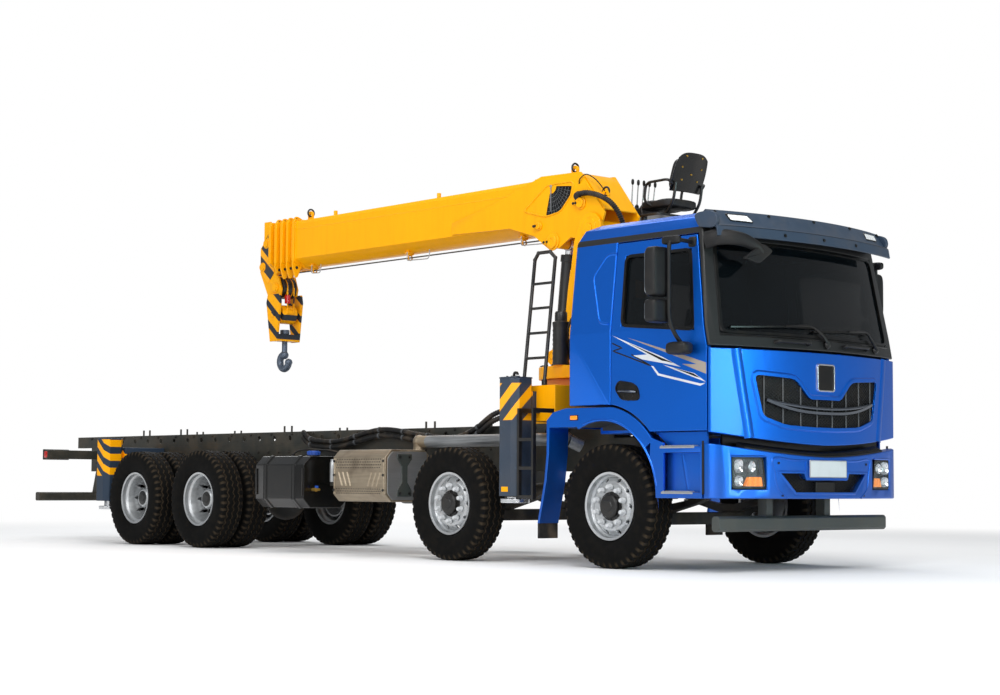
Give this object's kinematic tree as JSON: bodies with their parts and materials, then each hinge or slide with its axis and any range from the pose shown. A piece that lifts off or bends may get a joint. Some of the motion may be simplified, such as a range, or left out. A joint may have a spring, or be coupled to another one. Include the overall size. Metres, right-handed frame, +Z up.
{
  "type": "truck-mounted crane",
  "caption": "Heavy forward-control truck with a straight telescopic boom crane, top operator seat and outriggers between its cab and its bare rear frame.",
  "frame": {"origin": "on the ground, in the middle of the length and width", "axes": "+X to the front of the truck, +Y to its left, +Z up"},
  "size_m": [11.95, 3.12, 3.98],
  "materials": {
    "cab_paint": "metallic gloss",
    "crane_paint": "gloss",
    "frame_paint": "satin",
    "leg_paint": "satin",
    "visor_paint": "gloss",
    "stainless": "brushed",
    "rod_steel": "polished",
    "black_plastic": "satin",
    "black_steel": "satin",
    "lamp_glass": "clear",
    "window_glass": "clear",
    "hose_rubber": "matt",
    "seat_fabric": "woven",
    "wheel": "dusty rubber on a silver rim",
    "hook_steel": "painted"
  },
  "bodies": {
    "truck": {"chassis_frame": "frame_paint", "subframe": "frame_paint", "axle_beams": "frame_paint", "leaf_springs": "frame_paint", "engine": "frame_paint", "propshafts": "frame_paint", "fuel_tank": "black_steel", "exhaust_box": "stainless", "side_tanks": "black_steel", "front_bumper": "cab_paint", "lamps": "lamp_glass", "front_guard": "leg_paint", "fenders": "cab_paint", "tail_bars": "frame_paint", "crane_base": "crane_paint", "ladders": "black_steel", "hydraulic_hoses": "hose_rubber", "cab_shell": "cab_paint", "cab_glass": "window_glass", "sun_visor": "visor_paint", "dashboard": "black_plastic", "seats": "seat_fabric", "wiper_cowl": "black_plastic"},
    "right_door": {"door_right": "cab_paint", "door_glass_right": "window_glass", "mirrors_right": "black_plastic"},
    "left_door": {"door_left": "cab_paint", "door_glass_left": "window_glass", "mirrors_left": "black_plastic"},
    "front_lid": {"front_panel": "cab_paint", "grille": "black_plastic"},
    "crane_column": {"column": "crane_paint", "operator_seat": "black_plastic"},
    "lift_barrel_body": {"lift_barrel": "leg_paint"},
    "lift_rod_body": {"lift_rod": "rod_steel"},
    "boom_1_body": {"boom_base": "crane_paint"},
    "boom_2_body": {"boom_2": "crane_paint"},
    "boom_3_body": {"boom_3": "crane_paint"},
    "boom_4_body": {"boom_4": "crane_paint"},
    "boom_5_body": {"boom_5": "crane_paint"},
    "block_body": {"hook_block": "crane_paint"},
    "hook_body": {"hook": "hook_steel"},
    "beam_right": {"outrigger_beam_right": "leg_paint"},
    "beam_left": {"outrigger_beam_left": "leg_paint"},
    "leg_right": {"outrigger_leg_right": "rod_steel"},
    "leg_left": {"outrigger_leg_left": "rod_steel"},
    "tail_leg_right": {"rear_leg_right": "rod_steel"},
    "tail_leg_left": {"rear_leg_left": "rod_steel"},
    "knuckle_1_right_body": {"knuckle_1_right": "frame_paint"},
    "knuckle_1_left_body": {"knuckle_1_left": "frame_paint"},
    "knuckle_2_right_body": {"knuckle_2_right": "frame_paint"},
    "knuckle_2_left_body": {"knuckle_2_left": "frame_paint"},
    "wheel_1_right_body": {"wheel_1_right": "wheel"},
    "wheel_1_left_body": {"wheel_1_left": "wheel"},
    "wheel_2_right_body": {"wheel_2_right": "wheel"},
    "wheel_2_left_body": {"wheel_2_left": "wheel"},
    "wheel_3_right_body": {"wheel_3_right": "wheel"},
    "wheel_3_left_body": {"wheel_3_left": "wheel"},
    "wheel_4_right_body": {"wheel_4_right": "wheel"},
    "wheel_4_left_body": {"wheel_4_left": "wheel"}
  },
  "joints": [
    {"name": "steer_1_right", "type": "hinge", "parent": "truck", "child": "knuckle_1_right_body", "pos_m": [4.475, -0.88, 0.5425], "axis": [0, 0, 1], "range_deg": [-35, 35]},
    {"name": "steer_1_left", "type": "hinge", "parent": "truck", "child": "knuckle_1_left_body", "pos_m": [4.475, 0.88, 0.5425], "axis": [0, 0, 1], "range_deg": [-35, 35]},
    {"name": "steer_2_right", "type": "hinge", "parent": "truck", "child": "knuckle_2_right_body", "pos_m": [2.325, -0.88, 0.5425], "axis": [0, 0, 1], "range_deg": [-24.5, 24.5]},
    {"name": "steer_2_left", "type": "hinge", "parent": "truck", "child": "knuckle_2_left_body", "pos_m": [2.325, 0.88, 0.5425], "axis": [0, 0, 1], "range_deg": [-24.5, 24.5]},
    {"name": "spin_1_right", "type": "hinge", "parent": "knuckle_1_right_body", "child": "wheel_1_right_body", "pos_m": [4.475, -1.025, 0.5425], "axis": [0, 1, 0], "continuous": true},
    {"name": "spin_1_left", "type": "hinge", "parent": "knuckle_1_left_body", "child": "wheel_1_left_body", "pos_m": [4.475, 1.025, 0.5425], "axis": [0, 1, 0], "continuous": true},
    {"name": "spin_2_right", "type": "hinge", "parent": "knuckle_2_right_body", "child": "wheel_2_right_body", "pos_m": [2.325, -1.025, 0.5425], "axis": [0, 1, 0], "continuous": true},
    {"name": "spin_2_left", "type": "hinge", "parent": "knuckle_2_left_body", "child": "wheel_2_left_body", "pos_m": [2.325, 1.025, 0.5425], "axis": [0, 1, 0], "continuous": true},
    {"name": "spin_3_right", "type": "hinge", "parent": "truck", "child": "wheel_3_right_body", "pos_m": [-1.925, -0.915, 0.5425], "axis": [0, 1, 0], "continuous": true},
    {"name": "spin_3_left", "type": "hinge", "parent": "truck", "child": "wheel_3_left_body", "pos_m": [-1.925, 0.915, 0.5425], "axis": [0, 1, 0], "continuous": true},
    {"name": "spin_4_right", "type": "hinge", "parent": "truck", "child": "wheel_4_right_body", "pos_m": [-3.275, -0.915, 0.5425], "axis": [0, 1, 0], "continuous": true},
    {"name": "spin_4_left", "type": "hinge", "parent": "truck", "child": "wheel_4_left_body", "pos_m": [-3.275, 0.915, 0.5425], "axis": [0, 1, 0], "continuous": true},
    {"name": "door_right_hinge", "type": "hinge", "parent": "truck", "child": "right_door", "pos_m": [5.625, -1.222, 1.9], "axis": [0, 0, 1], "range_deg": [0, 70]},
    {"name": "door_left_hinge", "type": "hinge", "parent": "truck", "child": "left_door", "pos_m": [5.625, 1.222, 1.9], "axis": [0, 0, -1], "range_deg": [0, 70]},
    {"name": "front_lid_hinge", "type": "hinge", "parent": "truck", "child": "front_lid", "pos_m": [5.921, 0, 1.846], "axis": [0, -1, 0], "range_deg": [0, 75]},
    {"name": "slew", "type": "hinge", "parent": "truck", "child": "crane_column", "pos_m": [3.175, 0, 1.73], "axis": [0, 0, 1], "continuous": true},
    {"name": "luff", "type": "hinge", "parent": "crane_column", "child": "boom_1_body", "pos_m": [3.355, 0, 3.17], "axis": [0, 1, 0], "range_deg": [0, 75]},
    {"name": "lift_swing", "type": "hinge", "parent": "crane_column", "child": "lift_barrel_body", "pos_m": [2.695, 0, 1.985], "axis": [0, 1, 0], "range_deg": [0, 8.52]},
    {"name": "lift_stroke", "type": "slide", "parent": "lift_barrel_body", "child": "lift_rod_body", "axis": [0.108, 0, 0.9942], "range_m": [0, 0.63212]},
    {"name": "extend_2", "type": "slide", "parent": "boom_1_body", "child": "boom_2_body", "axis": [-1, 0, 0], "range_m": [0, 3.3]},
    {"name": "extend_3", "type": "slide", "parent": "boom_2_body", "child": "boom_3_body", "axis": [-1, 0, 0], "range_m": [0, 3.3]},
    {"name": "extend_4", "type": "slide", "parent": "boom_3_body", "child": "boom_4_body", "axis": [-1, 0, 0], "range_m": [0, 3.3]},
    {"name": "extend_5", "type": "slide", "parent": "boom_4_body", "child": "boom_5_body", "axis": [-1, 0, 0], "range_m": [0, 3.3]},
    {"name": "block_hang", "type": "hinge", "parent": "boom_5_body", "child": "block_body", "pos_m": [-2.015, 0, 3], "axis": [0, -1, 0], "range_deg": [0, 75]},
    {"name": "hook_turn", "type": "hinge", "parent": "block_body", "child": "hook_body", "pos_m": [-1.995, 0, 2.4], "axis": [0, 0, 1], "continuous": true},
    {"name": "beam_right_slide", "type": "slide", "parent": "truck", "child": "beam_right", "axis": [0, -1, 0], "range_m": [0, 1.4]},
    {"name": "beam_left_slide", "type": "slide", "parent": "truck", "child": "beam_left", "axis": [0, 1, 0], "range_m": [0, 1.4]},
    {"name": "leg_right_slide", "type": "slide", "parent": "beam_right", "child": "leg_right", "axis": [0, 0, -1], "range_m": [0, 0.55]},
    {"name": "leg_left_slide", "type": "slide", "parent": "beam_left", "child": "leg_left", "axis": [0, 0, -1], "range_m": [0, 0.55]},
    {"name": "tail_leg_right_slide", "type": "slide", "parent": "truck", "child": "tail_leg_right", "axis": [0, 0, -1], "range_m": [0, 0.39]},
    {"name": "tail_leg_left_slide", "type": "slide", "parent": "truck", "child": "tail_leg_left", "axis": [0, 0, -1], "range_m": [0, 0.39]}
  ],
  "couplings": [
    {"joint": "steer_1_left", "follows": "steer_1_right", "ratio": 1},
    {"joint": "steer_2_right", "follows": "steer_1_right", "ratio": 0.7},
    {"joint": "steer_2_left", "follows": "steer_1_right", "ratio": 0.7},
    {"joint": "lift_swing", "follows": "luff", "ratio": 0.11365},
    {"joint": "lift_stroke", "follows": "luff", "m_per_rad": 0.48252},
    {"joint": "extend_3", "follows": "extend_2", "ratio": 1},
    {"joint": "extend_4", "follows": "extend_2", "ratio": 1},
    {"joint": "extend_5", "follows": "extend_2", "ratio": 1},
    {"joint": "block_hang", "follows": "luff", "ratio": 1}
  ]
}
